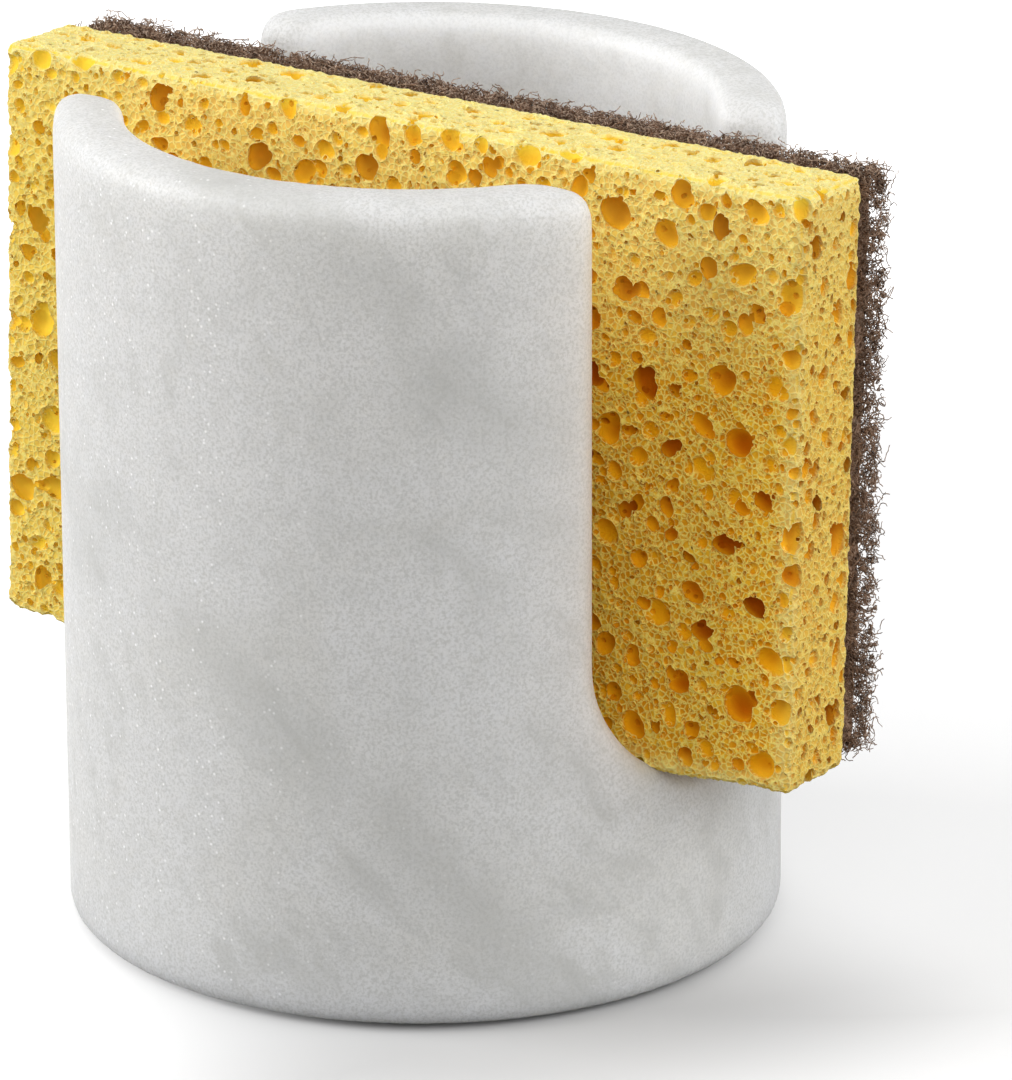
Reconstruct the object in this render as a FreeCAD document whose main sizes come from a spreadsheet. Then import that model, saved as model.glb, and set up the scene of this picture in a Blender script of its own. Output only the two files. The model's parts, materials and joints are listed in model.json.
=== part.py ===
import FreeCAD, Part
import os
import Sketcher

# A stone sponge holder for the sink: a turned marble cup, cut right through by a U-shaped slot,
# stands on four thin pads and holds a scrub sponge upright on its long edge.
# Millimetres. X runs along the slot and the sponge, Z is up, the origin is on the counter under
# the centre of the cup, and the soft face of the sponge looks towards -Y.

doc = FreeCAD.newDocument("SpongeHolder")

# Driving dimensions
SIZES = [
    # marble cup
    ("outer_diameter", 80.0),
    ("body_height", 93.0),
    ("wall_thickness", 7.8),
    ("floor_thickness", 11.0),
    ("cavity_corner_bevel", 5.0),
    ("slot_width", 33.2),
    ("slot_floor_flat", 1.2),
    ("slot_floor_height", 23.35),
    ("rim_corner_round", 3.0),
    ("outer_edge_round", 2.4),
    ("inner_edge_bevel", 1.2),
    ("base_edge_bevel", 0.9),
    # pads under the cup
    ("foot_diameter", 12.0),
    ("foot_thickness", 0.6),
    ("foot_margin", 7.0),
    # scrub sponge
    ("sponge_length", 105.4),
    ("sponge_height", 66.6),
    ("sponge_thickness", 12.0),
    ("sponge_edge_round", 1.2),
    ("glue_thickness", 0.4),
    ("glue_inset", 1.6),
    ("pad_thickness", 7.2),
    ("pad_corner_round", 3.0),
    ("pad_edge_bevel", 2.0),
    # how the sponge stands in the slot
    ("sponge_shift", 1.7),
    ("sponge_lean", 2.3),
    ("seat_gap", 0.2),
    # how far a cut runs past the stone
    ("overrun", 5.0),
]
FOOT_COUNT = 4
FIRST_FOOT_STEP_SHARE = 0.5  # the first pad lies half a step round from X
SAME_LENGTH = 0.0001  # lengths that differ by less are the same length

sheet = doc.addObject("Spreadsheet::Sheet", "Sizes")
for row, (name, millimetres) in enumerate(SIZES, start=1):
    sheet.set(f"A{row}", name)
    sheet.set(f"B{row}", str(millimetres))
    sheet.setAlias(f"B{row}", name)
doc.recompute()

# Sizes that follow from the driving ones, as expressions on the sheet
OUTER_RADIUS = "Sizes.outer_diameter / 2"
CAVITY_RADIUS = "(Sizes.outer_diameter / 2 - Sizes.wall_thickness)"
SLOT_HALF = "Sizes.slot_width / 2"
SLOT_ROUND = "(Sizes.slot_width - Sizes.slot_floor_flat) / 2"
SLOT_TOP = "Sizes.body_height + Sizes.overrun"
SLOT_REACH = "Sizes.outer_diameter + 2 * Sizes.overrun"
FOOT_CIRCLE_RADIUS = "(Sizes.outer_diameter / 2 - Sizes.foot_margin - Sizes.foot_diameter / 2)"
STACK = "(Sizes.sponge_thickness + Sizes.glue_thickness + Sizes.pad_thickness)"
LEAN = "asin(Sizes.sponge_lean / Sizes.sponge_height)"


def rise(edge_round):
    """How high over the slot's floor the sponge's eased lower edge comes to rest on the U."""
    across = f"max(0; {STACK} / 2 - {edge_round} - Sizes.slot_floor_flat / 2)"
    reach = f"({SLOT_ROUND} - {edge_round} - Sizes.seat_gap)"
    return f"({SLOT_ROUND} - {edge_round} - sqrt({reach} ^ 2 - {across} ^ 2))"


# How far the upright sponge's lower face stays below the middle of the U, about which it leans
SPONGE_DROP = f"({SLOT_ROUND} - max({rise('Sizes.sponge_edge_round')}; {rise('Sizes.pad_edge_bevel')}))"


def new_body(label):
    """An empty body for one physical piece."""
    body = doc.addObject("PartDesign::Body", label)
    body.Label = label
    return body


def new_sketch(body, name, role):
    """A sketch on one of the body's own origin planes."""
    plane = [part for part in body.Origin.OriginFeatures if part.Role == role][0]
    sketch = body.newObject("Sketcher::SketchObject", name)
    sketch.AttachmentSupport = (plane, [""])
    sketch.MapMode = "FlatFace"
    return sketch


def bind(sketch, kind, places, text):
    """Add a dimension to a sketch and tie it to the sheet."""
    number = sketch.addConstraint(Sketcher.Constraint(kind, *places, sketch.evalExpression(text)))
    sketch.setExpression(f"Constraints[{number}]", text)


def hold_side(sketch, side, upright, text):
    """Hold an upright or level side of an outline at its signed distance from the sketch's axis."""
    kind = "DistanceX" if upright else "DistanceY"
    distance = sketch.evalExpression(text)
    if distance == 0:
        sketch.addConstraint(Sketcher.Constraint("PointOnObject", side, 1, -2 if upright else -1))
    elif distance > 0:
        bind(sketch, kind, (-1, 1, side, 1), text)
    else:
        bind(sketch, kind, (side, 1, -1, 1), f"-({text})")


def outline(sketch, corners):
    """Draw a closed outline with upright and level sides. A corner is x, y and its rounding."""
    count = len(corners)
    points = []
    for across, up, _ in corners:
        points.append(FreeCAD.Vector(sketch.evalExpression(across), sketch.evalExpression(up), 0))
    roundings = [sketch.evalExpression(rounding) for _, _, rounding in corners]
    ways = [(points[(i + 1) % count] - points[i]).normalize() for i in range(count)]
    sides = []
    for i in range(count):
        following = (i + 1) % count
        start = points[i] + ways[i] * roundings[i]
        end = points[following] - ways[i] * roundings[following]
        sides.append(sketch.addGeometry(Part.LineSegment(start, end), False))
        upright = abs(ways[i].x) < abs(ways[i].y)
        sketch.addConstraint(Sketcher.Constraint("Vertical" if upright else "Horizontal", sides[i]))
        hold_side(sketch, sides[i], upright, corners[i][0] if upright else corners[i][1])
    for i in range(count):
        if roundings[i] == 0:
            sketch.addConstraint(Sketcher.Constraint("Coincident", sides[i - 1], 2, sides[i], 1))
            continue
        start = points[i] - ways[i - 1] * roundings[i]
        end = points[i] + ways[i] * roundings[i]
        centre = start + ways[i] * roundings[i]
        middle = centre + (points[i] - centre).normalize() * roundings[i]
        turns_left = ways[i - 1].cross(ways[i]).z > 0
        arc = sketch.addGeometry(Part.Arc(start, middle, end), False)
        first, last = (1, 2) if turns_left else (2, 1)
        sketch.addConstraint(Sketcher.Constraint("Tangent", sides[i - 1], 2, arc, first))
        sketch.addConstraint(Sketcher.Constraint("Tangent", arc, last, sides[i], 1))
        bind(sketch, "Radius", (arc,), corners[i][2])


def rectangle(left, right, bottom, top, rounding="0"):
    """The corners of a rectangle, anticlockwise from the lower left."""
    return [
        (left, bottom, rounding),
        (right, bottom, rounding),
        (right, top, rounding),
        (left, top, rounding),
    ]


def centred_rectangle(width, height, inset="0", rounding="0"):
    """The corners of a rectangle centred on Z that stands on the plane's level axis."""
    half = f"({width} / 2 - {inset})"
    return rectangle(f"-{half}", half, inset, f"{height} - {inset}", rounding)


def pad_both_ways(body, sketch, thickness):
    """Thicken a sketch evenly to both sides of its plane."""
    pad = body.newObject("PartDesign::Pad", "Block")
    pad.Profile = sketch
    pad.SideType = "Symmetric"
    pad.setExpression("Length", thickness)
    doc.recompute()
    return pad


def ease(body, base, name, chosen, kind, size):
    """Round or bevel the edges of a feature for which the test chosen(shape, edge) holds."""
    edges = []
    for number, edge in enumerate(base.Shape.Edges, start=1):
        if chosen(base.Shape, edge):
            edges.append(f"Edge{number}")
    if not edges:
        raise RuntimeError(f"{body.Label}: no edge found for {name}")
    feature = body.newObject(f"PartDesign::{kind}", name)
    feature.Base = (base, edges)
    feature.setExpression("Radius" if kind == "Fillet" else "Size", size)
    doc.recompute()
    return feature


def edge_points(edge):
    """The ends and the middle of an edge."""
    first, last = edge.ParameterRange
    return [edge.valueAt(place) for place in (first, (first + last) / 2, last)]


def near(one, other):
    """Whether two lengths are the same but for rounding."""
    return abs(one - other) < SAME_LENGTH


# Marble cup: turned from one block, bored from above, slotted across and eased at every edge.
def make_cup():
    body = new_body("marble_body")
    profile = new_sketch(body, "CupProfile", "XZ_Plane")
    outline(
        profile,
        [
            ("0", "0", "0"),
            (OUTER_RADIUS, "0", "0"),
            (OUTER_RADIUS, "Sizes.body_height", "0"),
            (CAVITY_RADIUS, "Sizes.body_height", "0"),
            (CAVITY_RADIUS, "Sizes.floor_thickness", "0"),
            ("0", "Sizes.floor_thickness", "0"),
        ],
    )
    turned = body.newObject("PartDesign::Revolution", "TurnedCup")
    turned.Profile = profile
    turned.ReferenceAxis = (profile, ["V_Axis"])
    doc.recompute()

    slot = new_sketch(body, "SlotProfile", "YZ_Plane")
    slot_corners = rectangle(f"-{SLOT_HALF}", SLOT_HALF, "Sizes.slot_floor_height", SLOT_TOP)
    for lower in (0, 1):
        slot_corners[lower] = (*slot_corners[lower][:2], SLOT_ROUND)
    outline(slot, slot_corners)
    cut = body.newObject("PartDesign::Pocket", "Slot")
    cut.Profile = slot
    cut.SideType = "Symmetric"
    cut.setExpression("Length", SLOT_REACH)
    doc.recompute()
    if cut.Shape.Volume >= turned.Shape.Volume:
        raise RuntimeError("marble_body: the slot cuts nothing")

    top = sheet.body_height
    cavity_floor = sheet.floor_thickness
    slot_floor = sheet.slot_floor_height
    outer_radius = body.evalExpression(OUTER_RADIUS)
    cavity_radius = body.evalExpression(CAVITY_RADIUS)

    def on_radius(shape, edge, radius):
        """A true edge, not a seam, that runs on a cylinder about Z at or above the slot's floor."""
        points = edge_points(edge)
        is_seam = len(shape.ancestorsOfType(edge, Part.Face)) < 2
        is_above = all(point.z > slot_floor or near(point.z, slot_floor) for point in points)
        is_round = all(near((point.x**2 + point.y**2) ** 0.5, radius) for point in points)
        return is_above and is_round and not is_seam

    def ends_the_rim(shape, edge):
        """The straight edges where the rim's flat top breaks off at the slot."""
        points = edge_points(edge)
        is_top = all(near(point.z, top) for point in points)
        return is_top and all(near(point.y, points[0].y) for point in points)

    def rings_the_cavity_floor(shape, edge):
        points = edge_points(edge)
        is_low = all(near(point.z, cavity_floor) for point in points)
        return is_low and all(near((point.x**2 + point.y**2) ** 0.5, cavity_radius) for point in points)

    def rings_the_base(shape, edge):
        return all(near(point.z, 0) for point in edge_points(edge))

    def runs_outside(shape, edge):
        return on_radius(shape, edge, outer_radius)

    def runs_inside(shape, edge):
        return on_radius(shape, edge, cavity_radius)

    shaped = ease(body, cut, "RimCorners", ends_the_rim, "Fillet", "Sizes.rim_corner_round")
    shaped = ease(body, shaped, "OuterEdge", runs_outside, "Fillet", "Sizes.outer_edge_round")
    shaped = ease(body, shaped, "InnerEdge", runs_inside, "Chamfer", "Sizes.inner_edge_bevel")
    shaped = ease(
        body, shaped, "CavityCorner", rings_the_cavity_floor, "Chamfer", "Sizes.cavity_corner_bevel"
    )
    ease(body, shaped, "BaseEdge", rings_the_base, "Chamfer", "Sizes.base_edge_bevel")
    body.setExpression("Placement.Base.z", "Sizes.foot_thickness")
    return body


# Pads: punched self-adhesive discs under the cup, which keep the stone off the counter.
def make_foot(number):
    body = new_body(f"foot_pad_{number}")
    sketch = new_sketch(body, "Disc", "XY_Plane")
    radius = sketch.evalExpression("Sizes.foot_diameter / 2")
    circle = sketch.addGeometry(Part.Circle(FreeCAD.Vector(), FreeCAD.Vector(0, 0, 1), radius), False)
    sketch.addConstraint(Sketcher.Constraint("Coincident", circle, 3, -1, 1))
    bind(sketch, "Diameter", (circle,), "Sizes.foot_diameter")
    disc = body.newObject("PartDesign::Pad", "Block")
    disc.Profile = sketch
    disc.setExpression("Length", "Sizes.foot_thickness")
    doc.recompute()
    turn = f"({number} - {FIRST_FOOT_STEP_SHARE}) * 360 deg / {FOOT_COUNT}"
    body.setExpression("Placement.Base.x", f"{FOOT_CIRCLE_RADIUS} * cos({turn})")
    body.setExpression("Placement.Base.y", f"{FOOT_CIRCLE_RADIUS} * sin({turn})")
    return body


def stand_in_slot(body, depth):
    """Stand one layer of the sponge in the slot, its middle at a depth behind the soft face.

    The sponge leans back a little, turned about the middle of the U, on which both its edges rest.
    """
    across = f"({depth} - {STACK} / 2)"
    middle = f"Sizes.foot_thickness + Sizes.slot_floor_height + {SLOT_ROUND}"
    body.Placement.Rotation = FreeCAD.Rotation(FreeCAD.Vector(1, 0, 0), -body.evalExpression(LEAN).Value)
    body.setExpression("Placement.Rotation.Angle", f"-{LEAN}")
    body.setExpression("Placement.Base.x", "Sizes.sponge_shift")
    body.setExpression("Placement.Base.y", f"{across} * cos({LEAN}) - {SPONGE_DROP} * sin({LEAN})")
    body.setExpression(
        "Placement.Base.z", f"{middle} - {SPONGE_DROP} * cos({LEAN}) - {across} * sin({LEAN})"
    )


def runs_lengthwise(shape, edge):
    """Whether an edge runs straight along X."""
    points = edge_points(edge)
    return all(near(point.y, points[0].y) and near(point.z, points[0].z) for point in points)


# Cellulose sponge: a sawn block with slightly soft long edges.
def make_sponge():
    body = new_body("sponge_block")
    sketch = new_sketch(body, "Face", "XZ_Plane")
    outline(sketch, centred_rectangle("Sizes.sponge_length", "Sizes.sponge_height"))
    block = pad_both_ways(body, sketch, "Sizes.sponge_thickness")
    ease(body, block, "SoftEdges", runs_lengthwise, "Fillet", "Sizes.sponge_edge_round")
    stand_in_slot(body, "Sizes.sponge_thickness / 2")
    return body


# Glue film: bonds the scouring pad to the back of the sponge.
def make_glue():
    body = new_body("adhesive_layer")
    sketch = new_sketch(body, "Face", "XZ_Plane")
    outline(sketch, centred_rectangle("Sizes.sponge_length", "Sizes.sponge_height", "Sizes.glue_inset"))
    pad_both_ways(body, sketch, "Sizes.glue_thickness")
    stand_in_slot(body, "Sizes.sponge_thickness + Sizes.glue_thickness / 2")
    return body


# Scouring pad: a springy slab of crimped fibres with round corners and a worn outer edge.
def make_scouring_pad():
    body = new_body("scouring_pad")
    sketch = new_sketch(body, "Face", "XZ_Plane")
    corners = centred_rectangle(
        "Sizes.sponge_length", "Sizes.sponge_height", rounding="Sizes.pad_corner_round"
    )
    outline(sketch, corners)
    slab = pad_both_ways(body, sketch, "Sizes.pad_thickness")
    outer_face = sheet.pad_thickness / 2

    def bounds_the_outer_face(shape, edge):
        return all(near(point.y, outer_face) for point in edge_points(edge))

    ease(body, slab, "OuterEdge", bounds_the_outer_face, "Chamfer", "Sizes.pad_edge_bevel")
    stand_in_slot(body, "Sizes.sponge_thickness + Sizes.glue_thickness + Sizes.pad_thickness / 2")
    return body


pieces = [make_cup()]
pieces += [make_foot(number) for number in range(1, FOOT_COUNT + 1)]
pieces += [make_sponge(), make_glue(), make_scouring_pad()]
doc.recompute()

for item in doc.Objects:
    if "Invalid" in item.State or "Error" in item.State:
        raise RuntimeError(f"{item.Label} failed to build")
for piece in pieces:
    if piece.Shape.isNull() or not piece.Shape.isValid():
        raise RuntimeError(f"{piece.Label} has no sound solid")

os.makedirs("parts", exist_ok=True)
for piece in pieces:
    piece.Shape.exportStep(f"parts/{piece.Label}.step")
    box = piece.Shape.optimalBoundingBox()
    print(
        f"{piece.Label}: {piece.Shape.Volume:.0f} mm3,",
        f"x {box.XMin:.2f} to {box.XMax:.2f},",
        f"y {box.YMin:.2f} to {box.YMax:.2f},",
        f"z {box.ZMin:.2f} to {box.ZMax:.2f}",
    )
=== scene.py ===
import json
import math

import bpy
import numpy as np
from mathutils import Matrix, Vector

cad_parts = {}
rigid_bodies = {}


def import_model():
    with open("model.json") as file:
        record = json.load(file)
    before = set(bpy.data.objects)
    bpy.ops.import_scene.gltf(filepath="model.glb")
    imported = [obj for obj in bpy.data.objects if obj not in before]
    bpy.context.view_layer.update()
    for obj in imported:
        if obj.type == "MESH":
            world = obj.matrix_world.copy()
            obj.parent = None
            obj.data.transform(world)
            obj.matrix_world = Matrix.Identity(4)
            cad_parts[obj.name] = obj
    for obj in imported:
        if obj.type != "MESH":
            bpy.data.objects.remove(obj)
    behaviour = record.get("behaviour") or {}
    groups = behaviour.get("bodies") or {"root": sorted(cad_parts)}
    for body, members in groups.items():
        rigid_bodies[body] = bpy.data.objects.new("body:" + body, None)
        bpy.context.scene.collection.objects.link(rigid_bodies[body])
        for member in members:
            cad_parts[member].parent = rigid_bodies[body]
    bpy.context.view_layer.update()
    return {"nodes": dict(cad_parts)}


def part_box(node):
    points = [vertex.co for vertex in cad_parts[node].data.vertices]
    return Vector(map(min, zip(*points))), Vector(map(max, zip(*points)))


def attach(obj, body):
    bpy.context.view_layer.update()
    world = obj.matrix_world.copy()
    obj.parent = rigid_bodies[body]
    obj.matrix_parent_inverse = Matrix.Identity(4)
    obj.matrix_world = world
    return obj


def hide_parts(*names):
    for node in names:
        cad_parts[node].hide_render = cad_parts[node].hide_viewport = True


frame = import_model()
MM = 0.001


# The cup: turned, bored and slotted from one block of white marble, then honed to a dull sheen, which
# softens every edge of the imported solid; its bore is painted whiter, as painted light on the inner
# wall. Soft grey drifts run down through the cloudy stone to the right, and painted glints of its
# crystals show here and there.
HONING_STEP = 0.8 * MM
HONING_ROUNDS = (2, 6)  # all over, then above the base edge
HONED_FROM = 6 * MM  # the base edge below this keeps the small bevel of the lathe
STONE_WHITE = (0.75, 0.75, 0.747, 1)
STONE_GREY = (0.52, 0.52, 0.498, 1)
STONE_BEIGE = (0.67, 0.66, 0.625, 1)
STONE_DARK = (0.50, 0.50, 0.48, 1)
STONE_PAINTED_GLINT = (1.0, 1.0, 1.0, 1)
STONE_BORE_LIGHT = (0.92, 0.92, 0.905, 1)
BORE_LIGHT_FADE = (32.6 * MM, 34.0 * MM)  # from the axis: where the painted light on the bore fades into the stone
DRIFT_ACROSS = (0.451, 0.598, 0.663)  # the way straight through the sheets of grey
DRIFTS = ((41.5 * MM, 8.0 * MM, 0.65), (4.2 * MM, 7.0 * MM, 0.50))  # place, half width, strength
DRIFT_WANDER = 6 * MM
WANDER_LENGTH = 18 * MM
DRIFT_WAY = (0.59, 0.41, -0.69)  # the way the grey runs, along which its streaks are drawn out
STREAK_LENGTH = 4 * MM
CLOUD_LENGTH = 26 * MM
PATCH_LENGTH = 22 * MM
BLOT_LENGTH = 11 * MM
MOTTLE_LENGTH = 5 * MM
CRYSTAL_SIZE = 0.35 * MM
PAINTED_GLINT_SPACING = 0.85 * MM
PAINTED_GLINT_SIDE = (-0.826, -0.564, 0.0)  # painted glints are strongest on the side that the window lamp grazes
PAINTED_GLINT_FADE = (0 * MM, 34 * MM)


def activate(piece):
    bpy.ops.object.select_all(action="DESELECT")
    bpy.context.view_layer.objects.active = piece
    piece.select_set(True)


def shape(piece, kind, **settings):
    """Puts a modifier on a piece and applies it."""
    activate(piece)
    tool = piece.modifiers.new(kind.lower(), kind)
    for name, value in settings.items():
        setattr(tool, name, value)
    bpy.ops.object.modifier_apply(modifier=tool.name)


cup = bpy.data.objects.new("marble_cup", frame["nodes"]["marble_body"].data.copy())
bpy.context.scene.collection.objects.link(cup)
shape(cup, "WELD", merge_threshold=0.001 * MM)
shape(cup, "REMESH", mode="VOXEL", voxel_size=HONING_STEP)
honed = cup.vertex_groups.new(name="honed")
honed.add([corner.index for corner in cup.data.vertices if corner.co.z > HONED_FROM], 1.0, "REPLACE")
shape(cup, "SMOOTH", factor=0.5, iterations=HONING_ROUNDS[0])
shape(cup, "SMOOTH", factor=0.5, iterations=HONING_ROUNDS[1], vertex_group="honed")
activate(cup)
bpy.ops.object.shade_smooth()


class Finish:
    """A procedural material, written as a chain of nodes that each take what they need."""

    def __init__(self, name):
        self.material = bpy.data.materials.new(name)
        self.material.use_nodes = True
        self.tree = self.material.node_tree
        self.shader = self.tree.nodes["Principled BSDF"]
        self.place = self.add("ShaderNodeTexCoord").outputs["Object"]

    def add(self, kind, **settings):
        node = self.tree.nodes.new(kind)
        for name, value in settings.items():
            setattr(node, name, value)
        return node

    def feed(self, socket, value):
        if isinstance(value, bpy.types.NodeSocket):
            self.tree.links.new(value, socket)
        else:
            socket.default_value = value

    def set(self, **sockets):
        for name, value in sockets.items():
            self.feed(self.shader.inputs[name.replace("_", " ")], value)

    def along(self, way):
        node = self.add("ShaderNodeVectorMath", operation="DOT_PRODUCT")
        self.feed(node.inputs[0], self.place)
        node.inputs[1].default_value = way
        return node.outputs["Value"]

    def from_axis(self):
        """The distance from the cup's upright axis."""
        flat = self.add("ShaderNodeVectorMath", operation="MULTIPLY")
        self.feed(flat.inputs[0], self.place)
        flat.inputs[1].default_value = (1, 1, 0)
        node = self.add("ShaderNodeVectorMath", operation="LENGTH")
        self.feed(node.inputs[0], flat.outputs["Vector"])
        return node.outputs["Value"]

    def stored(self, name):
        return self.add("ShaderNodeAttribute", attribute_name=name).outputs["Fac"]

    def drawn_out(self, way, share):
        """The place on the piece, squeezed along one way, which draws a pattern out along it."""
        part = self.add("ShaderNodeVectorMath", operation="PROJECT")
        self.feed(part.inputs[0], self.place)
        part.inputs[1].default_value = way
        less = self.add("ShaderNodeVectorMath", operation="SCALE")
        self.feed(less.inputs[0], part.outputs["Vector"])
        less.inputs["Scale"].default_value = share
        rest = self.add("ShaderNodeVectorMath", operation="SUBTRACT")
        self.feed(rest.inputs[0], self.place)
        self.feed(rest.inputs[1], less.outputs["Vector"])
        return rest.outputs["Vector"]

    def noise(self, length, detail=2.0, rough=0.5, warp=0.0, place=None):
        node = self.add("ShaderNodeTexNoise")
        node.inputs["Scale"].default_value = 1 / length
        node.inputs["Detail"].default_value = detail
        node.inputs["Roughness"].default_value = rough
        node.inputs["Distortion"].default_value = warp
        self.feed(node.inputs["Vector"], place or self.place)
        return node.outputs["Fac"]

    def cells(self, length, output="Distance", feature="F1"):
        node = self.add("ShaderNodeTexVoronoi", feature=feature)
        node.inputs["Scale"].default_value = 1 / length
        self.feed(node.inputs["Vector"], self.place)
        return node.outputs[output]

    def math(self, operation, first, second=0.0):
        node = self.add("ShaderNodeMath", operation=operation)
        self.feed(node.inputs[0], first)
        self.feed(node.inputs[1], second)
        return node.outputs[0]

    def ramp(self, value, low, high, to_low=0.0, to_high=1.0):
        node = self.add("ShaderNodeMapRange", interpolation_type="SMOOTHSTEP")
        for name, amount in zip(("From Min", "From Max", "To Min", "To Max"),
                                (low, high, to_low, to_high)):
            node.inputs[name].default_value = amount
        self.feed(node.inputs["Value"], value)
        return node.outputs["Result"]

    def mix(self, share, first, second):
        node = self.add("ShaderNodeMix", data_type="RGBA")
        for socket, value in zip((node.inputs[0], node.inputs[6], node.inputs[7]),
                                 (share, first, second)):
            self.feed(socket, value)
        return node.outputs[2]

    def bump(self, height, depth, strength=1.0):
        node = self.add("ShaderNodeBump")
        node.inputs["Strength"].default_value = strength
        node.inputs["Distance"].default_value = depth
        self.feed(node.inputs["Height"], height)
        return node.outputs["Normal"]

    def wrap(self, piece):
        piece.data.materials.clear()
        piece.data.materials.append(self.material)


marble = Finish("honed_marble")
clouds = marble.noise(CLOUD_LENGTH, 5, 0.6, 0.8)
stone = marble.mix(marble.ramp(clouds, 0.42, 0.72, 0.0, 0.5), STONE_WHITE, STONE_BEIGE)
wander = marble.math("SUBTRACT", marble.noise(WANDER_LENGTH, 4, 0.6, 0.5), 0.5)
wander = marble.math("MULTIPLY", wander, DRIFT_WANDER * 2)
across = marble.math("ADD", marble.along(DRIFT_ACROSS), wander)
patchy = marble.ramp(marble.noise(PATCH_LENGTH, 2, 0.5), 0.3, 0.65)
for place, half_width, strength in DRIFTS:
    away = marble.math("ABSOLUTE", marble.math("SUBTRACT", across, place))
    share = marble.math("MULTIPLY", marble.ramp(away, 0.0, half_width, strength, 0.0), patchy)
    stone = marble.mix(share, stone, STONE_GREY)
streaks = marble.noise(STREAK_LENGTH, 4, 0.6, 0.3, marble.drawn_out(DRIFT_WAY, 0.8))
streaked = marble.math("MULTIPLY", marble.ramp(streaks, 0.47, 0.70, 0.0, 0.55), patchy)
stone = marble.mix(streaked, stone, STONE_GREY)
blots = marble.ramp(marble.noise(BLOT_LENGTH, 4, 0.6), 0.66, 0.82, 0.0, 0.35)
stone = marble.mix(blots, stone, STONE_DARK)
# Painted light: the inner wall of the bore is painted whiter and less grainy, fading out towards the
# outer stone.
bore_light = marble.ramp(marble.from_axis(), *BORE_LIGHT_FADE, 0.8, 0.0)
stone = marble.mix(bore_light, stone, STONE_BORE_LIGHT)
mottle = marble.noise(MOTTLE_LENGTH, 4, 0.65, 0.4)
stone = marble.mix(marble.ramp(mottle, 0.42, 0.70, 0.0, 0.22), stone, STONE_GREY)
grain = marble.noise(CRYSTAL_SIZE, 3, 0.7)
outside_bore_light = marble.math("SUBTRACT", 1.0, marble.math("MULTIPLY", bore_light, 0.8))
grained = marble.math("MULTIPLY", marble.ramp(grain, 0.40, 0.66, 0.0, 0.65), outside_bore_light)
stone = marble.mix(grained, stone, STONE_GREY)
# Painted glints: white specks for crystals catching the light, strongest on the side that the window
# lamp grazes.
chosen = marble.ramp(marble.cells(PAINTED_GLINT_SPACING, "Color"), 0.45, 0.80)
spots = marble.ramp(marble.cells(PAINTED_GLINT_SPACING), 0.08, 0.27, 1.0, 0.0)
glint_side_light = marble.ramp(marble.along(PAINTED_GLINT_SIDE), *PAINTED_GLINT_FADE, 0.2, 1.0)
painted_glints = marble.math("MULTIPLY", marble.math("MULTIPLY", chosen, spots), glint_side_light)
stone = marble.mix(painted_glints, stone, STONE_PAINTED_GLINT)
marble.set(Base_Color=stone,
           Roughness=marble.ramp(grain, 0.3, 0.7, 0.42, 0.58),
           Normal=marble.bump(grain, 0.04 * MM, 0.6),
           Subsurface_Weight=0.9,
           Subsurface_Radius=(1.0, 0.96, 0.88),
           Subsurface_Scale=11 * MM)
marble.wrap(cup)
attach(cup, "holder")
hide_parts("marble_body")


# The feet: four thin self-adhesive discs of grey-white rubber, pressed on under the cup.
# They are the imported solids, so they only get their finish: dull, with the faint mottle of a
# punched sheet.
SPECK_SIZE = 0.8 * MM
RUBBER_PALE = (0.55, 0.55, 0.54, 1)
RUBBER_DARK = (0.40, 0.40, 0.40, 1)
rubber = Finish("pad_rubber")
specks = rubber.noise(SPECK_SIZE, 3, 0.6)
rubber.set(Base_Color=rubber.mix(specks, RUBBER_PALE, RUBBER_DARK),
           Roughness=rubber.ramp(specks, 0.3, 0.7, 0.6, 0.75),
           Normal=rubber.bump(specks, 0.04 * MM, 0.4))
for number in range(1, 5):
    frame["nodes"][f"foot_pad_{number}"].material_slots[0].material = rubber.material


# The sponge: a block of foamed cellulose, sawn to size, so its faces cut straight through its pores.
# The pores lie flat with the block, with a painted highlight on each thin rim and painted shade, gold to
# deep amber, in each hollow. A fine net of pits covers the web between them, with painted highlights on
# its ridges and painted shade in its pits. It is made upright and then leans back in the slot.
SPONGE_HALF = np.array((52.7, 6.0, 33.3)) * MM
SPONGE_LEAN = math.asin(2.3 / 66.6)
SPONGE_EDGE_ROUND = 1.2 * MM
SAW_ALLOWANCE = np.array((0.10, 0.05, 0.05)) * MM  # the ragged skin lies this much proud
SKIN_STEP = 0.28 * MM
WAVE_LENGTH = 2.6 * MM
WAVE_HEIGHT = 0.28 * MM
NET_SIZE = 0.75 * MM
NET_DEPTH = 0.34 * MM
SAG = 0.9 * MM  # the soft block hangs over the lips of the slot by this much at its lower edge
SAG_REACH = np.array((33.8, 36.6, 39.5, 48.5)) * MM  # starts, full from, full to, ends
SAG_HEIGHT = 7 * MM
SLOT_MIDDLE = -1.7 * MM  # of the cup, along the block from its own middle
RIM_ANGLE = math.radians(38)  # a pore has a rim where the skin turns by more than this
RIM_LIP = 0.08 * MM
RIM_DEPTH = 0.6 * MM  # rims that lie deeper count only by INNER_RIM
INNER_RIM = 0.35
HIDDEN_SKIN = 1.0 * MM  # along the glue, where no pore is cut
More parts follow.
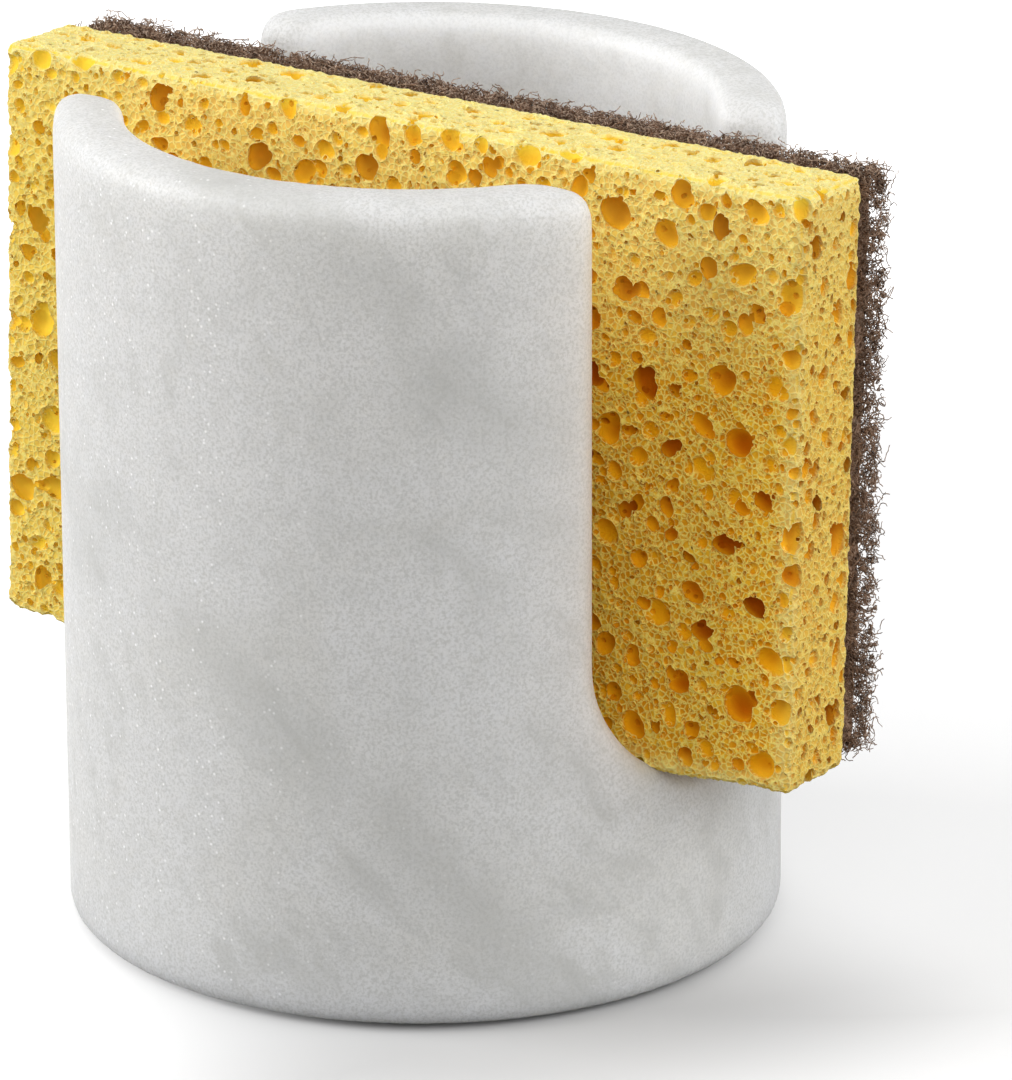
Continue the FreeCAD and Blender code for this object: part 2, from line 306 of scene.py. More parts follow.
# Each set of pores: how many, least and greatest radius, depth against width, rounds of the ball.
PORE_SETS = (
    ("large_pores", 340, 1.50 * MM, 2.60 * MM, 0.68, 3),
    ("wide_pores", 800, 0.95 * MM, 1.55 * MM, 0.70, 2),
    ("middle_pores", 1700, 0.60 * MM, 0.98 * MM, 0.76, 1),
    ("small_pores", 3000, 0.36 * MM, 0.62 * MM, 0.80, 1),
    ("pin_pores", 2400, 0.28 * MM, 0.42 * MM, 0.90, 1),
)
QUICK_PORES = 1000
PORE_TRIALS = 40000
PORE_UNDER = (-0.5, 0.6)  # how deep an open pore's middle lies under the sawn face, in radii
PORE_DENT = 0.16
PORE_WIDTH = (0.66, 1.0)
PORE_DEPTH = (0.8, 1.1)
PORE_TILT = 0.22
WALL_PORES_EACH = 4
WALL_PORE_SHARE = (0.18, 0.34)  # of the pore whose wall they pierce
WALL_PORE_PLACE = 0.75  # of the way from that pore's middle to its wall
PIERCED_FROM = 0.8 * MM  # the least radius of pores with pierced walls
PORE_SEED = 11
# Painted light and shade on the foam: it is painted paler at its edges, on its top and its ends, and
# towards the top and the left of its front, where light falls on it most, and its ends are painted
# greyer: over which distances that fades, from each edge or face, or from the block's middle.
EDGE_FADE = np.array((0.5, 3.0)) * MM
TOP_FADE = np.array((0.6, 2.6)) * MM
END_FADE = np.array((0.0, 1.2)) * MM
UPPER_FADE = np.array((10, 28)) * MM
LEFT_FADE = np.array((24, 42)) * MM
FELT_LENGTH = 0.22 * MM
PATCHES_LENGTH = 7 * MM
RIDGE_SPACING = 0.7 * MM
# The foam's colours, in order: painted light, painted highlight, the foam's own yellow, painted shade in
# pits (also its darker random patches), painted light on the left, painted shade in shallow and in deep
# hollows, painted shade on the ends.
SPONGE_LIT_CREAM = (1.0, 0.89, 0.38, 1)
SPONGE_HIGHLIGHT = (1.0, 0.77, 0.17, 1)
SPONGE_YELLOW = (0.92, 0.50, 0.028, 1)
SPONGE_PIT_SHADE_AND_PATCH = (0.74, 0.29, 0.006, 1)
SPONGE_LIT_LEMON = (1.0, 0.70, 0.06, 1)
SPONGE_HOLLOW_SHADE = (0.90, 0.42, 0.006, 1)
SPONGE_DEEP_SHADE = (0.56, 0.15, 0.001, 1)
SPONGE_END_SHADE = (0.50, 0.33, 0.08, 1)


def block(name, low, high, edge_round):
    """A sawn block between two corners, with its edges rounded over."""
    bpy.ops.object.select_all(action="DESELECT")
    bpy.ops.mesh.primitive_cube_add(size=1, location=(low + high) / 2, scale=high - low)
    piece = bpy.context.object
    piece.name = name
    bpy.ops.object.transform_apply(location=True, rotation=True, scale=True)
    bpy.ops.object.mode_set(mode="EDIT")
    bpy.ops.mesh.select_all(action="SELECT")
    bpy.ops.mesh.bevel(offset=edge_round, segments=3)
    bpy.ops.object.mode_set(mode="OBJECT")
    return piece


def corner_places(mesh):
    places = np.zeros(3 * len(mesh.vertices))
    mesh.vertices.foreach_get("co", places)
    return places.reshape(-1, 3)


def store(mesh, name, values):
    mesh.attributes.new(name, "FLOAT", "POINT").data.foreach_set("value", values)


def lean_back(piece, node):
    """Turns an upright piece back in the slot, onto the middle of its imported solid."""
    activate(piece)
    low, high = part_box(node)
    piece.location = (np.array(low) + np.array(high)) / 2
    piece.rotation_euler.x = -SPONGE_LEAN
    bpy.ops.object.transform_apply(location=True, rotation=True, scale=True)


def keep_apart(trials, sizes, count, places=(), radii=()):
    """Adds balls to those already placed, as long as none touches another, up to a count."""
    places = list(places)
    radii = list(radii)
    cell_side = 2.2 * max(sizes)
    beside = {}
    for number, place in enumerate(places):
        beside.setdefault(tuple((place // cell_side).astype(int)), []).append(number)
    for place, radius in zip(trials, sizes):
        if len(places) == count:
            break
        cell = tuple((place // cell_side).astype(int))
        around = [number for x in (-1, 0, 1) for y in (-1, 0, 1) for z in (-1, 0, 1)
                  for number in beside.get((cell[0] + x, cell[1] + y, cell[2] + z), ())]
        if all(np.linalg.norm(place - places[n]) > radius + radii[n] for n in around):
            beside.setdefault(cell, []).append(len(places))
            places.append(place)
            radii.append(radius)
    return np.array(places), np.array(radii)


def pore_places(draw, count, least, greatest, depth_share):
    """Places and radii of pores that the sawn faces open."""
    places, radii = np.zeros((0, 3)), np.zeros(0)
    while len(places) < count:
        trials = draw.uniform(-SPONGE_HALF - greatest, SPONGE_HALF + greatest, (PORE_TRIALS, 3))
        sizes = draw.uniform(least ** 0.5, greatest ** 0.5, PORE_TRIALS) ** 2
        under = ((SPONGE_HALF - np.abs(trials)) / (1, depth_share, 1)).min(axis=1)
        opens = (under > PORE_UNDER[0] * sizes) & (under < PORE_UNDER[1] * sizes)
        opens &= trials[:, 1] < SPONGE_HALF[1] - HIDDEN_SKIN
        places, radii = keep_apart(trials[opens], sizes[opens], count, places, radii)
    return places, radii


def wall_pore_places(draw, places, radii, depth_share):
    """Places and radii of the small pores that pierce the walls of larger ones, on their inner side."""
    to_faces = SPONGE_HALF - np.abs(places)
    faced = to_faces.argmin(axis=1)
    rows = np.arange(len(places))
    trials = []
    sizes = []
    for turn in range(WALL_PORES_EACH):
        way = draw.normal(0, 1, places.shape)
        way /= np.linalg.norm(way, axis=1, keepdims=True)
        inward = -np.sign(places[rows, faced])
        way[rows, faced] = inward * np.abs(way[rows, faced])
        trials.append(places + WALL_PORE_PLACE * way * radii[:, None] * (1, depth_share, 1))
        sizes.append(radii * draw.uniform(*WALL_PORE_SHARE, len(radii)))
    return keep_apart(np.concatenate(trials), np.concatenate(sizes), len(places) * WALL_PORES_EACH)


def pore_cutter(draw, name, places, radii, depth_share, rounds):
    """One dented ball, copied to every place: flat along Y, turned at random, lightly tilted."""
    bpy.ops.object.select_all(action="DESELECT")
    bpy.ops.mesh.primitive_ico_sphere_add(subdivisions=rounds, radius=1)
    ball = bpy.context.object
    corners = corner_places(ball.data)
    faces = np.array([face.vertices for face in ball.data.polygons])
    bpy.data.objects.remove(ball)
    count = len(places)
    lobes = draw.normal(0, 1, (count, 3, 3))
    dents = np.sin(1.9 * np.einsum("cij,vj->cvi", lobes, corners)).mean(axis=2)
    points = corners[None] * (1 - PORE_DENT + PORE_DENT * dents[:, :, None])
    width = draw.uniform(*PORE_WIDTH, (count, 1))
    depth = depth_share * draw.uniform(*PORE_DEPTH, (count, 1))
    turn = draw.uniform(-np.pi, np.pi, (count, 1))
    tilt = draw.normal(0, PORE_TILT, (count, 1))
    across = points[:, :, 0] * width
    up = points[:, :, 2]
    inward = points[:, :, 1] * depth
    x = across * np.cos(turn) - up * np.sin(turn)
    z = across * np.sin(turn) + up * np.cos(turn)
    y = inward * np.cos(tilt) - z * np.sin(tilt)
    z = inward * np.sin(tilt) + z * np.cos(tilt)
    points = np.stack([x, y, z], axis=2) * radii[:, None, None] + places[:, None, :]
    faces = faces[None] + (np.arange(count) * len(corners))[:, None, None]
    mesh = bpy.data.meshes.new(name)
    mesh.from_pydata(points.reshape(-1, 3).tolist(), [], faces.reshape(-1, 3).tolist())
    cutter = bpy.data.objects.new(name, mesh)
    bpy.context.scene.collection.objects.link(cutter)
    return cutter


def drop_closed_hollows(piece):
    """Deletes every shell of a mesh but the outer skin."""
    activate(piece)
    bpy.ops.object.mode_set(mode="EDIT")
    bpy.ops.mesh.select_all(action="DESELECT")
    bpy.ops.object.mode_set(mode="OBJECT")
    piece.data.vertices[int(corner_places(piece.data)[:, 1].argmax())].select = True
    bpy.ops.object.mode_set(mode="EDIT")
    bpy.ops.mesh.select_mode(type="VERT")
    bpy.ops.mesh.select_linked()
    bpy.ops.mesh.select_all(action="INVERT")
    bpy.ops.mesh.delete(type="VERT")
    bpy.ops.object.mode_set(mode="OBJECT")


def rim_corners(mesh, least_angle):
    """1 for each corner of a mesh that lies on a sharp outward edge, else 0."""
    normals = np.zeros(3 * len(mesh.polygons))
    mesh.polygons.foreach_get("normal", normals)
    normals = normals.reshape(-1, 3)
    centres = np.zeros(3 * len(mesh.polygons))
    mesh.polygons.foreach_get("center", centres)
    centres = centres.reshape(-1, 3)
    lengths = np.zeros(len(mesh.polygons), dtype=int)
    mesh.polygons.foreach_get("loop_total", lengths)
    edges = np.zeros(len(mesh.loops), dtype=int)
    mesh.loops.foreach_get("edge_index", edges)
    ends = np.zeros(2 * len(mesh.edges), dtype=int)
    mesh.edges.foreach_get("vertices", ends)
    ends = ends.reshape(-1, 2)
    owners = np.repeat(np.arange(len(lengths)), lengths)[np.argsort(edges, kind="stable")]
    shared = np.bincount(edges, minlength=len(ends))
    first = np.concatenate([[0], np.cumsum(shared)[:-1]])
    paired = np.flatnonzero(shared == 2)
    one = owners[first[paired]]
    other = owners[first[paired] + 1]
    sharp = (normals[one] * normals[other]).sum(axis=1) < math.cos(least_angle)
    outward = (normals[one] * (centres[other] - centres[one])).sum(axis=1) < 0
    marks = np.zeros(len(mesh.vertices))
    marks[ends[paired[sharp & outward]].ravel()] = 1
    return marks


sawn_half = SPONGE_HALF + SAW_ALLOWANCE
sponge = block("cellulose_sponge", -sawn_half, sawn_half, SPONGE_EDGE_ROUND)
shape(sponge, "REMESH", mode="VOXEL", voxel_size=SKIN_STEP * 1)
waves = bpy.data.textures.new("sponge_waves", "CLOUDS")
waves.noise_scale = WAVE_LENGTH
waves.noise_depth = 2
shape(sponge, "DISPLACE", texture=waves, texture_coords="LOCAL", strength=WAVE_HEIGHT, mid_level=0.6)
net = bpy.data.textures.new("sponge_net", "VORONOI")
net.noise_scale = NET_SIZE
shape(sponge, "DISPLACE", texture=net, texture_coords="LOCAL", strength=NET_DEPTH, mid_level=0.75)
pore_draw = np.random.default_rng(PORE_SEED)
for name, count, least, greatest, depth_share, rounds in PORE_SETS:
    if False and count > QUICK_PORES:
        continue
    places, radii = pore_places(pore_draw, count, least, greatest, depth_share)
    cutter = pore_cutter(pore_draw, name, places, radii, depth_share, rounds)
    shape(sponge, "BOOLEAN", operation="DIFFERENCE", object=cutter, solver="MANIFOLD")
    bpy.data.objects.remove(cutter)
    if least > PIERCED_FROM:
        places, radii = wall_pore_places(pore_draw, places, radii, depth_share)
        cutter = pore_cutter(pore_draw, name + "_in_walls", places, radii, 0.9, 1)
        shape(sponge, "BOOLEAN", operation="DIFFERENCE", object=cutter, solver="MANIFOLD")
        bpy.data.objects.remove(cutter)
drop_closed_hollows(sponge)
rims = rim_corners(sponge.data, RIM_ANGLE)
corners = corner_places(sponge.data)
to_faces = SPONGE_HALF - np.abs(corners)
nearest = to_faces.argmin(axis=1)
rims[to_faces.min(axis=1) > RIM_DEPTH] *= INNER_RIM
rows = np.flatnonzero(rims > 0.5)
corners[rows, nearest[rows]] += RIM_LIP * np.sign(corners)[rows, nearest[rows]]
by_distance = np.sort(to_faces, axis=1)
# Painted light: paler at the edges, on the top and ends, and towards the top and the left of the front.
edge = np.interp(by_distance[:, 1], EDGE_FADE, (1, 0))
top = np.interp(SPONGE_HALF[2] - corners[:, 2], TOP_FADE, (1, 0))
end = np.interp(SPONGE_HALF[0] - np.abs(corners[:, 0]), END_FADE, (1, 0))
upper = np.interp(corners[:, 2], UPPER_FADE, (0, 1))
left = np.interp(-corners[:, 0], LEFT_FADE, (0, 1))
painted_light = np.max([0.6 * edge ** 1.5, top, 0.45 * upper, 0.3 * left, 0.2 * end], axis=0)
store(sponge.data, "rim", rims)
# The depth under the sawn faces sets the painted shade in the pits and hollows.
store(sponge.data, "depth", by_distance[:, 0])
store(sponge.data, "painted_light", painted_light)
# Painted shade on the ends, below the top.
store(sponge.data, "painted_end_shade", end * (1 - top))
store(sponge.data, "painted_light_left", np.maximum(painted_light, 0.85 * left))
hanging = np.interp(np.abs(corners[:, 0] - SLOT_MIDDLE), SAG_REACH, (0, 1, 1, 0))
hanging *= np.interp(corners[:, 2] + SPONGE_HALF[2], (0, SAG_HEIGHT), (1, 0))
corners[:, 2] -= SAG * hanging
sponge.data.vertices.foreach_set("co", corners.ravel())
sponge.data.update()
activate(sponge)
bpy.ops.object.shade_smooth_by_angle(angle=math.radians(50))
lean_back(sponge, "sponge_block")

cellulose = Finish("cellulose_foam")
depth = cellulose.stored("depth")
felt = cellulose.noise(FELT_LENGTH, 3, 0.7, 0.6)
patches = cellulose.noise(PATCHES_LENGTH, 3, 0.55)
# Painted highlights: pale lines on the ridges of the fine net, and below, pale rims on the pores.
net_lines = cellulose.cells(RIDGE_SPACING, feature="DISTANCE_TO_EDGE")
ridges = cellulose.ramp(net_lines, 0.03, 0.20, 1.0, 0.0)
painted_light = cellulose.stored("painted_light")
painted_light_left = cellulose.stored("painted_light_left")
highlight_colour = cellulose.mix(painted_light, SPONGE_HIGHLIGHT, SPONGE_LIT_CREAM)
# Painted shade: the pits of the web are darker with depth; darker random patches of tone.
web = cellulose.mix(cellulose.ramp(depth, -0.05 * MM, 0.15 * MM), SPONGE_YELLOW, SPONGE_PIT_SHADE_AND_PATCH)
web = cellulose.mix(cellulose.ramp(patches, 0.4, 0.7, 0.0, 0.5), web, SPONGE_PIT_SHADE_AND_PATCH)
# Painted light on the web: lemon towards the left of the front, cream where the foam is painted paler.
web = cellulose.mix(cellulose.math("MULTIPLY", painted_light_left, 0.7), web, SPONGE_LIT_LEMON)
web = cellulose.mix(cellulose.math("MULTIPLY", painted_light, 0.6), web, SPONGE_LIT_CREAM)
ridge_highlight = cellulose.math("MULTIPLY", ridges, cellulose.ramp(felt, 0.3, 0.55))
web = cellulose.mix(ridge_highlight, web, highlight_colour)
# Painted shade in the pores: gold in shallow hollows, deep amber in deep ones.
hollow_shade = cellulose.mix(cellulose.ramp(depth, 0.5 * MM, 1.7 * MM), SPONGE_HOLLOW_SHADE, SPONGE_DEEP_SHADE)
# Painted light on the left reaches into the hollows too.
hollow_shade = cellulose.mix(painted_light_left, hollow_shade, SPONGE_LIT_LEMON)
colour = cellulose.mix(cellulose.ramp(depth, 0.18 * MM, 0.50 * MM), web, hollow_shade)
# Painted highlight on the pores' rims.
rim_highlight = cellulose.ramp(cellulose.stored("rim"), 0.3, 0.95, 0.0, 0.9)
colour = cellulose.mix(rim_highlight, colour, highlight_colour)
# Painted shade: the ends are greyed and darkened.
end_shade = cellulose.math("MULTIPLY", cellulose.stored("painted_end_shade"), 0.3)
colour = cellulose.mix(end_shade, colour, SPONGE_END_SHADE)
shallow = cellulose.ramp(depth, 0.3 * MM, 0.9 * MM, 1.0, 0.1)
height = cellulose.math("ADD", ridges, cellulose.math("MULTIPLY", felt, 0.5))
cellulose.set(Base_Color=colour, Roughness=0.8, Specular_IOR_Level=0.06,
              Normal=cellulose.bump(cellulose.math("MULTIPLY", height, shallow), 0.08 * MM, 0.8),
              Subsurface_Weight=0.2, Subsurface_Radius=(1.0, 0.7, 0.3),
              Subsurface_Scale=0.8 * MM)
cellulose.wrap(sponge)
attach(sponge, "sponge")
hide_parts("sponge_block")


# The bond: a thin film of hot-melt glue, rolled on between the sponge and its scouring pad.
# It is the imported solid, hidden but for a line between the two layers, so only its finish is made.
SMEAR_LENGTH = 3 * MM
GLUE_AMBER = (0.62, 0.50, 0.30, 1)
GLUE_MILKY = (0.74, 0.66, 0.50, 1)
glue = Finish("hot_melt_film")
smears = glue.noise(SMEAR_LENGTH, 3, 0.5, 0.5)
glue.set(Base_Color=glue.mix(smears, GLUE_AMBER, GLUE_MILKY),
         Roughness=glue.ramp(smears, 0.3, 0.7, 0.3, 0.5))
frame["nodes"]["adhesive_layer"].material_slots[0].material = glue.material


# The scouring pad: a springy felt of crimped nylon threads, sprayed with brown grit and resin.
# It is closest against the sponge and opens towards its back and edges, where light shows between
# the threads. A matted core of the same stuff inside carries them.
PAD_HALF = np.array((52.7, 3.6, 33.3)) * MM
PAD_CORNER_ROUND = 2.4 * MM
CORE_INSET = 1.3 * MM
CORE_THICKNESS = 3.8 * MM
CORE_OFF_GLUE = 0.05 * MM
CORE_STEP = 0.8 * MM
CORE_RUTS = 0.9 * MM
OPEN_EDGE = 1.9 * MM
OPEN_BACK = 3.4 * MM
THREAD_COUNT = 5600
EDGE_SHARE = 0.74
THREAD_STEPS = 23
THREAD_STEP = 0.33 * MM
THREAD_RADIUS = 0.058 * MM
GIRTH = (0.75, 1.3)  # of a thread along its length, against its usual radius
CURL_RADIUS = (0.25 * MM, 0.65 * MM)
CURL_WANDER = 0.35
TURN_SPREAD = 0.2
FRAY = (-1.0 * MM, 0.1 * MM)  # how far past the pad's outline a thread may reach
TRIM = -0.35 * MM  # the same at the pad's upper and lower edge, within TRIM_BAND of it
TRIM_BAND = 4 * MM
THREAD_SEED = 23
TOP_PAINTED_LIGHT = 1.5 * MM  # painted light on the pad's top reaches down to here
GRAIN_SIZE = 0.35 * MM
GRIT_TONE_LENGTH = 2.5 * MM
GRIT_BROWN = (0.24, 0.135, 0.080, 1)
GRIT_DARK = (0.09, 0.043, 0.021, 1)
# The next colour serves both grit dust and the painted light on the threads.
GRIT_DUST_AND_LIGHT = (0.62, 0.47, 0.36, 1)


def unit(vectors):
    return vectors / np.linalg.norm(vectors, axis=1, keepdims=True)


def past_edge(points):
    """How far points lie outside the rounded pad, and the way straight out from it."""
    corner = np.abs(points) - (PAD_HALF - PAD_CORNER_ROUND)
    outer = np.maximum(corner, 0)
    distance = np.linalg.norm(outer, axis=1) + np.minimum(corner.max(axis=1), 0) - PAD_CORNER_ROUND
    steepest = np.zeros_like(points)
    steepest[np.arange(len(points)), corner.argmax(axis=1)] = 1
    way = np.where(outer.any(axis=1, keepdims=True), outer, steepest) * np.sign(points)
    return distance, unit(way + 1e-12)


def into_core(points):
    """Whether points lie in the matted core, and the shortest way out of it to an open side."""
    out = np.stack([PAD_HALF[0] - OPEN_EDGE - np.abs(points[:, 0]),
                    PAD_HALF[1] - OPEN_BACK - points[:, 1],
                    PAD_HALF[2] - OPEN_EDGE - np.abs(points[:, 2])], axis=1)
    way = np.zeros_like(points)
    rows = np.arange(len(points))
    shortest = out.argmin(axis=1)
    way[rows, shortest] = np.where(shortest == 1, 1, np.sign(points[rows, shortest]))
    return out.min(axis=1) > 0, way


def thread_starts(draw, count):
    """Places in the open felt: along the pad's four edges, closest at the sponge, and over its back."""
    at_edge = draw.uniform(0, 1, count) < EDGE_SHARE
    place = draw.uniform(-PAD_HALF, PAD_HALF, (count, 3))
    at_end = draw.uniform(0, 1, count) < PAD_HALF[2] / (PAD_HALF[0] + PAD_HALF[2])
    inset = draw.uniform(0, OPEN_EDGE, count)
    side = np.sign(draw.uniform(-1, 1, count) + np.where(at_end, 0.0, 0.5))
    place[:, 0] = np.where(at_edge & at_end, side * (PAD_HALF[0] - inset), place[:, 0])
    place[:, 2] = np.where(at_edge & ~at_end, side * (PAD_HALF[2] - inset), place[:, 2])
    near_sponge = PAD_HALF[1] * (2 * draw.uniform(0, 1, count) ** 1.15 - 1)
    near_back = PAD_HALF[1] - draw.uniform(0, OPEN_BACK, count)
    place[:, 1] = np.where(at_edge, near_sponge, near_back)
    return place


def crimped_threads(draw, count):
    """Threads that wander through the felt in curls and turn back at its edges, as thin tubes."""
    place = thread_starts(draw, count)
    heading = unit(draw.normal(0, 1, (count, 3)) * (1, 0.6, 1))
    axle = unit(np.cross(heading, draw.normal(0, 1, (count, 3))))
    curl = draw.uniform(*CURL_RADIUS, count)
    fray = draw.uniform(*FRAY, count)
    angles = np.arange(3) * 2 * np.pi / 3
    rings = []
    for step in range(THREAD_STEPS + 1):
        side = np.cross(heading, axle)
        girth = THREAD_RADIUS * draw.uniform(*GIRTH, (count, 1))
        ring = [place + girth * (axle * math.cos(a) + side * math.sin(a)) for a in angles]
        rings.append(np.stack(ring, axis=1))
        bend = (THREAD_STEP / curl)[:, None]
        heading = unit(heading * np.cos(bend) + side * np.sin(bend))
        ahead = place + heading * THREAD_STEP
        outside, way = past_edge(ahead)
        trimmed = np.abs(place[:, 2]) > PAD_HALF[2] - TRIM_BAND
        room = np.where(trimmed, np.minimum(fray, TRIM), fray)
        leaving = (outside > room) & ((heading * way).sum(axis=1) > 0)
        inside, way_out = into_core(ahead)
        sinking = inside & ((heading * way_out).sum(axis=1) < 0)
        way = np.where(sinking[:, None], way_out, way)
        back = heading - 2 * way * (heading * way).sum(axis=1, keepdims=True)
        turns = (leaving | sinking)[:, None]
        heading = np.where(turns, unit(back + TURN_SPREAD * draw.normal(0, 1, back.shape)), heading)
        axle = axle + CURL_WANDER * draw.normal(0, 1, axle.shape)
        axle = unit(axle - heading * (axle * heading).sum(axis=1, keepdims=True))
        place = place + heading * THREAD_STEP
    points = np.stack(rings, axis=1)
    rows = np.arange(THREAD_STEPS)[:, None] * 3
    here = np.arange(3)[None]
    after = (here + 1) % 3
    sides = np.stack([rows + here, rows + after, rows + after + 3, rows + here + 3], axis=2)
    per_thread = 3 * (THREAD_STEPS + 1)
    starts = np.arange(count)[:, None, None] * per_thread
    quads = (sides.reshape(1, -1, 4) + starts).reshape(-1, 4)
    caps = np.array([[2, 1, 0], [per_thread - 3, per_thread - 2, per_thread - 1]])
    ends = (caps[None] + starts).reshape(-1, 3)
    return points.reshape(-1, 3), quads.tolist() + ends.tolist()


core_low = -PAD_HALF + (CORE_INSET, CORE_OFF_GLUE, CORE_INSET)
core_high = PAD_HALF * (1, -1, 1) + (-CORE_INSET, CORE_THICKNESS, -CORE_INSET)
pad = block("nylon_scouring_pad", core_low, core_high, CORE_STEP)
shape(pad, "REMESH", mode="VOXEL", voxel_size=CORE_STEP)
ruts = bpy.data.textures.new("core_ruts", "CLOUDS")
ruts.noise_scale = CORE_RUTS
shape(pad, "DISPLACE", texture=ruts, texture_coords="LOCAL", strength=CORE_RUTS, mid_level=0.6)
thread_points, thread_faces = crimped_threads(np.random.default_rng(THREAD_SEED), THREAD_COUNT)
thread_mesh = bpy.data.meshes.new("threads")
thread_mesh.from_pydata(thread_points.tolist(), [], thread_faces)
threads_piece = bpy.data.objects.new("threads", thread_mesh)
bpy.context.scene.collection.objects.link(threads_piece)
activate(pad)
threads_piece.select_set(True)
bpy.ops.object.join()
bpy.ops.object.shade_smooth()
corners = corner_places(pad.data)
# Painted light and shade on the threads: darker against the sponge, lighter towards the back, lightest
# on the top.
to_back = np.clip((corners[:, 1] + PAD_HALF[1]) / (2 * PAD_HALF[1]), 0, 1)
to_top = np.interp(PAD_HALF[2] - corners[:, 2], (0, TOP_PAINTED_LIGHT), (1, 0))
store(pad.data, "open", np.maximum(0.75 * to_back, to_top))
lean_back(pad, "scouring_pad")

grit = Finish("gritty_nylon")
grains = grit.noise(GRAIN_SIZE, 2, 0.6)
tone = grit.noise(GRIT_TONE_LENGTH, 2, 0.5)
thread_colour = grit.mix(grit.ramp(tone, 0.35, 0.65), GRIT_BROWN, GRIT_DARK)
# Random grit dust, shown more where painted light lies towards the back, with painted light on the top.
outward_light = grit.ramp(grit.stored("open"), 0.1, 0.9, 0.30, 0.9)
dust_and_light = grit.math("MULTIPLY", grit.ramp(grains, 0.42, 0.62), outward_light)
dust_and_light = grit.math("MAXIMUM", dust_and_light, grit.ramp(grit.stored("open"), 0.76, 1.0, 0.0, 0.5))
thread_colour = grit.mix(dust_and_light, thread_colour, GRIT_DUST_AND_LIGHT)
grit.set(Base_Color=thread_colour, Specular_IOR_Level=0.12,
         Roughness=grit.ramp(grains, 0.3, 0.7, 0.45, 0.7),
         Normal=grit.bump(grains, 0.05 * MM, 0.6))
grit.wrap(pad)
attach(pad, "sponge")
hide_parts("scouring_pad")


# The table: a plain white sheet that holds the shadow, partly painted, and white behind it.
# A soft lamp on the left and weaker ones on the right and in front light the stone, under an even sky.
FLOOR_SIDE = 6.0
FLOOR_WHITE = (0.62, 0.62, 0.62, 1)
FLOOR_BOUNCE = (0.20, 0.20, 0.20, 1)
# Painted light: the sheet glows for the camera, more away from the cup and most towards the lamps,
# which paints the shape of its shadow: from and to where, by how much, and which way where it isn't all
# round.
FLOOR_PAINTED_LIGHT_ROUND = ((44 * MM, 82 * MM, 0.40), (90 * MM, 240 * MM, 0.80))
FLOOR_PAINTED_LIGHT_WAYS = ((0 * MM, 60 * MM, 0.75, (-0.826, -0.564, 0.0)),
               (0 * MM, 40 * MM, 0.40, (0.318, 0.943, 0.0)))
SKY_STRENGTH = 0.46
LAMP_AIM = Vector((0, 0, 50)) * MM
bpy.ops.object.select_all(action="DESELECT")
bpy.ops.mesh.primitive_plane_add(size=FLOOR_SIDE)
floor = bpy.context.object
floor.name = "floor"
paper = Finish("white_paper")
seen = paper.add("ShaderNodeLightPath")
shown = paper.math("MAXIMUM", seen.outputs["Is Camera Ray"], seen.outputs["Is Glossy Ray"])
shown = paper.math("MAXIMUM", shown, seen.outputs["Is Transmission Ray"])
floor_painted_light = 0.0
for start, end, most in FLOOR_PAINTED_LIGHT_ROUND:
    floor_painted_light = paper.math("MAXIMUM", floor_painted_light, paper.ramp(paper.from_axis(), start, end, 0.0, most))
for start, end, most, way in FLOOR_PAINTED_LIGHT_WAYS:
    floor_painted_light = paper.math("MAXIMUM", floor_painted_light, paper.ramp(paper.along(way), start, end, 0.0, most))
# The camera sees the painted light as a glow of the sheet.
paper.set(Base_Color=paper.mix(shown, FLOOR_BOUNCE, FLOOR_WHITE), Roughness=0.9,
          Emission_Color=(1, 1, 1, 1), Emission_Strength=paper.math("MULTIPLY", shown, floor_painted_light))
floor.data.materials.append(paper.material)

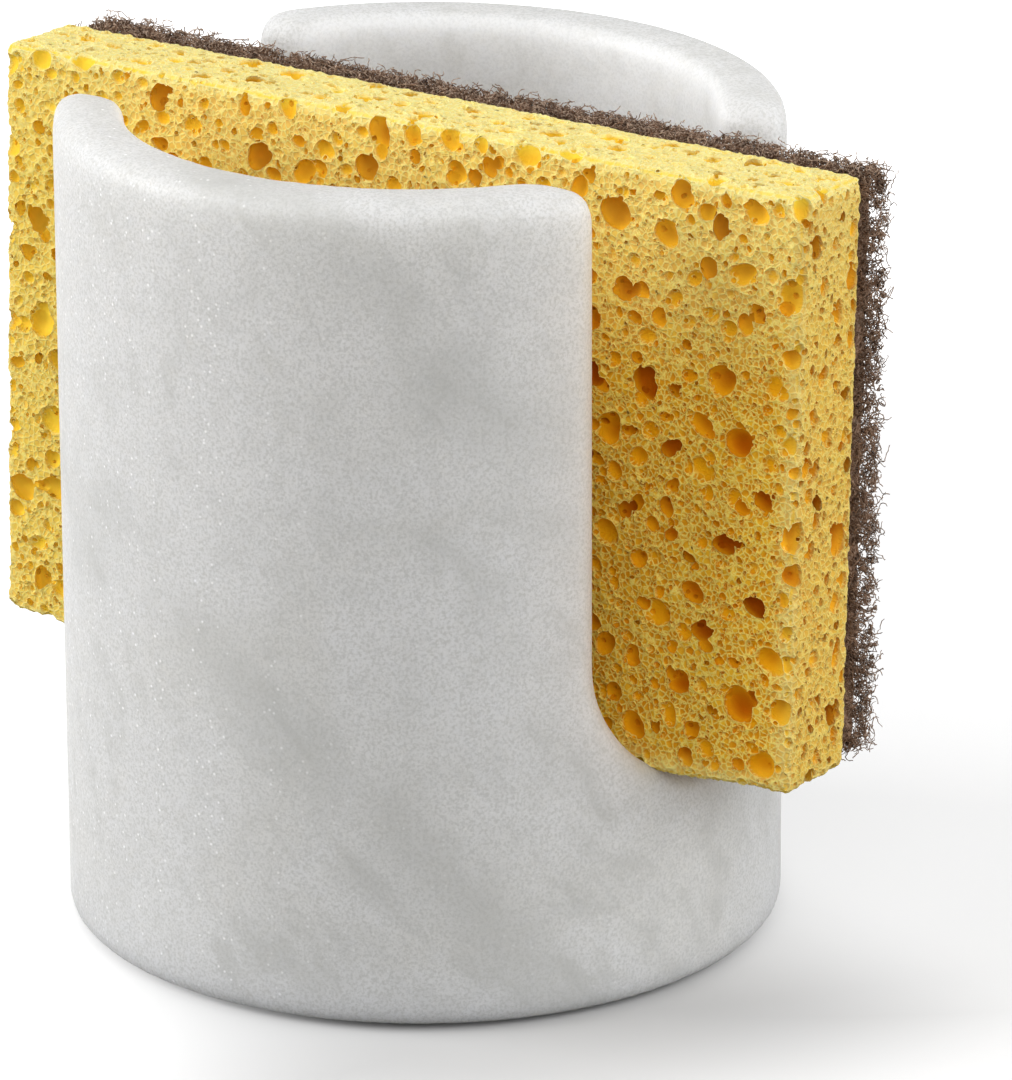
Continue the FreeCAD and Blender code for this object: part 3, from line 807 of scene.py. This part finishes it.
world = bpy.data.worlds.new("studio_sky")
bpy.context.scene.world = world
world.use_nodes = True
sky = world.node_tree
sky_light = sky.nodes["Background"]
sky_light.inputs["Color"].default_value = (1.0, 1.0, 1.0, 1)
sky_light.inputs["Strength"].default_value = SKY_STRENGTH
white_sky = sky.nodes.new("ShaderNodeBackground")
white_sky.inputs["Color"].default_value = (1.0, 1.0, 1.0, 1)
white_sky.inputs["Strength"].default_value = 1.0
ray = sky.nodes.new("ShaderNodeLightPath")
shown = ray.outputs["Is Camera Ray"]
for other in ("Is Glossy Ray", "Is Transmission Ray"):
    either = sky.nodes.new("ShaderNodeMath")
    either.operation = "MAXIMUM"
    sky.links.new(shown, either.inputs[0])
    sky.links.new(ray.outputs[other], either.inputs[1])
    shown = either.outputs[0]
sky_mix = sky.nodes.new("ShaderNodeMixShader")
sky.links.new(shown, sky_mix.inputs[0])
sky.links.new(sky_light.outputs[0], sky_mix.inputs[1])
sky.links.new(white_sky.outputs[0], sky_mix.inputs[2])
sky.links.new(sky_mix.outputs[0], sky.nodes["World Output"].inputs["Surface"])


def soft_lamp(name, place, side, power):
    lamp = bpy.data.lights.new(name, "AREA")
    lamp.shape = "SQUARE"
    lamp.size = side
    lamp.energy = power
    holder = bpy.data.objects.new(name, lamp)
    bpy.context.scene.collection.objects.link(holder)
    holder.location = place
    holder.rotation_euler = (LAMP_AIM - Vector(place)).to_track_quat("-Z", "Y").to_euler()


soft_lamp("window_lamp", (-0.90, -0.63, 0.50), side=0.65, power=10.0)
soft_lamp("fill_lamp", (0.99, 0.36, 0.45), side=0.8, power=6.2)
soft_lamp("front_lamp", (0.68, -0.66, 0.80), side=0.8, power=4.4)


# The camera: a long lens at the height and angle of the photograph.
CAMERA_PLACE = Vector((476.745, -680.195, 341.494)) * MM
CAMERA_AIM = Vector((7.589, 5.195, 42.231)) * MM
CAMERA_ROLL = math.radians(-0.2187)
LENS_LENGTH = 265.069
SENSOR_SIDE = 36.0  # its longer side, which stands upright here
lens = bpy.data.cameras.new("long_lens")
lens.lens = LENS_LENGTH
lens.sensor_fit = "AUTO"
lens.sensor_width = SENSOR_SIDE
camera = bpy.data.objects.new("long_lens", lens)
bpy.context.scene.collection.objects.link(camera)
level = (CAMERA_AIM - CAMERA_PLACE).to_track_quat("-Z", "Y").to_matrix().to_4x4()
camera.matrix_world = (Matrix.Translation(CAMERA_PLACE) @ level
                       @ Matrix.Rotation(CAMERA_ROLL, 4, "Z"))
bpy.context.scene.camera = camera
bpy.context.scene.view_settings.view_transform = "Standard"
